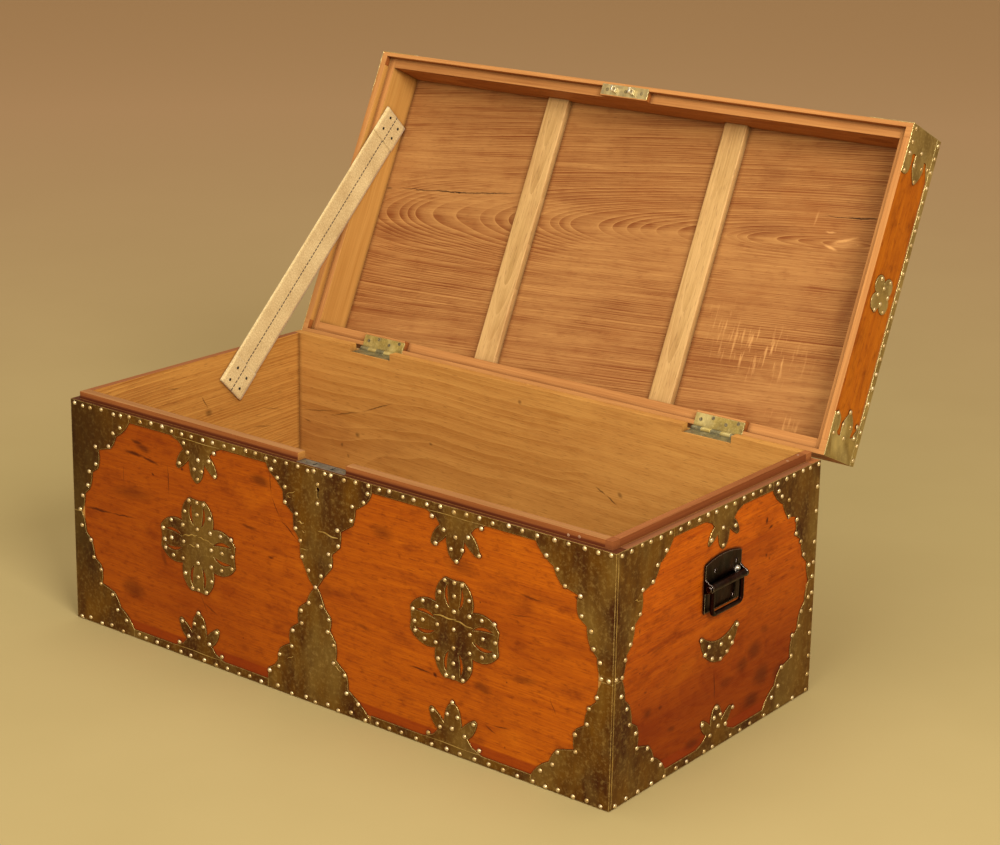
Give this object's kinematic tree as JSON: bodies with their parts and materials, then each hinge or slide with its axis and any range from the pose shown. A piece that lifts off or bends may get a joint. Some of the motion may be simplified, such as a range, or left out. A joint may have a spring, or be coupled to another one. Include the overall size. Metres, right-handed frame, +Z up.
{
  "type": "damchiya chest",
  "caption": "Low wooden dowry chest with a hinged lid open on a webbing stay, nailed sheet-brass mounts on its front, ends and lid, a drop handle on each end and a box lock.",
  "frame": {"origin": "centre of the carcass's underside, on the floor", "axes": "+X to the right along the front, +Y from the front to the back, +Z up"},
  "size_m": [0.942, 0.7194, 0.7307],
  "materials": {
    "front_and_end_wood": "orange-red varnish, worn",
    "inner_wood": "bare, aged",
    "rail_wood": "thin varnish, worn",
    "panel_wood": "bare, figured",
    "batten_wood": "bare, pale",
    "sheet_brass": "dull dark patina",
    "hinge_brass": "tarnished, worn bright",
    "lock_steel": "dull, worn",
    "handle_iron": "dark, half gloss",
    "cotton_webbing": "woven cotton"
  },
  "bodies": {
    "carcass": {"front_board": "front_and_end_wood", "back_board": "inner_wood", "left_end_board": "front_and_end_wood", "right_end_board": "front_and_end_wood", "bottom_board": "inner_wood", "front_centre_upper": "sheet_brass", "front_centre_lower": "sheet_brass", "front_quatrefoils": "sheet_brass", "end_crescents": "sheet_brass", "front_upper_corner_left": "sheet_brass", "left_end_front_upper_corner": "sheet_brass", "left_end_rear_upper_corner": "sheet_brass", "front_lower_corner_left": "sheet_brass", "left_end_front_lower_corner": "sheet_brass", "left_end_rear_lower_corner": "sheet_brass", "front_top_border_left": "sheet_brass", "left_end_top_border": "sheet_brass", "front_bottom_border_left": "sheet_brass", "left_end_bottom_border": "sheet_brass", "front_upper_corner_right": "sheet_brass", "right_end_front_upper_corner": "sheet_brass", "right_end_rear_upper_corner": "sheet_brass", "front_lower_corner_right": "sheet_brass", "right_end_front_lower_corner": "sheet_brass", "right_end_rear_lower_corner": "sheet_brass", "front_top_border_right": "sheet_brass", "right_end_top_border": "sheet_brass", "front_bottom_border_right": "sheet_brass", "right_end_bottom_border": "sheet_brass", "left_hinge_carcass_leaf": "hinge_brass", "left_hinge_pin": "hinge_brass", "left_handle_plate": "handle_iron", "left_handle_pin": "handle_iron", "right_hinge_carcass_leaf": "hinge_brass", "right_hinge_pin": "hinge_brass", "right_handle_plate": "handle_iron", "right_handle_pin": "handle_iron", "lock_case": "lock_steel", "stay_webbing": "cotton_webbing"},
    "lid": {"lid_panel": "panel_wood", "lid_front_rail": "rail_wood", "lid_back_rail": "rail_wood", "lid_left_rail": "rail_wood", "lid_right_rail": "rail_wood", "lid_left_batten": "batten_wood", "lid_right_batten": "batten_wood", "lid_edge_binding": "sheet_brass", "lid_quatrefoils": "sheet_brass", "lid_front_corner_left": "sheet_brass", "lid_rear_corner_left": "sheet_brass", "lid_front_corner_right": "sheet_brass", "lid_rear_corner_right": "sheet_brass", "left_hinge_lid_leaf": "hinge_brass", "right_hinge_lid_leaf": "hinge_brass", "lock_link_plate": "hinge_brass"},
    "right_bail": {"right_handle_bail": "handle_iron"},
    "left_bail": {"left_handle_bail": "handle_iron"},
    "lock_bolt": {"lock_bolt": "lock_steel"}
  },
  "joints": [
    {"name": "lid_hinge", "type": "hinge", "parent": "carcass", "child": "lid", "pos_m": [0, 0.2284, 0.3192], "axis": [1, 0, 0], "range_deg": [0, 114.6], "deforming": ["stay_webbing"]},
    {"name": "right_bail_pivot", "type": "hinge", "parent": "carcass", "child": "right_bail", "pos_m": [0.4655, 0, 0.223], "axis": [0, -1, 0], "range_deg": [0, 90]},
    {"name": "left_bail_pivot", "type": "hinge", "parent": "carcass", "child": "left_bail", "pos_m": [-0.4655, 0, 0.223], "axis": [0, 1, 0], "range_deg": [0, 90]},
    {"name": "lock_bolt_slide", "type": "slide", "parent": "carcass", "child": "lock_bolt", "axis": [1, 0, 0], "range_m": [0, 0.007]}
  ]
}
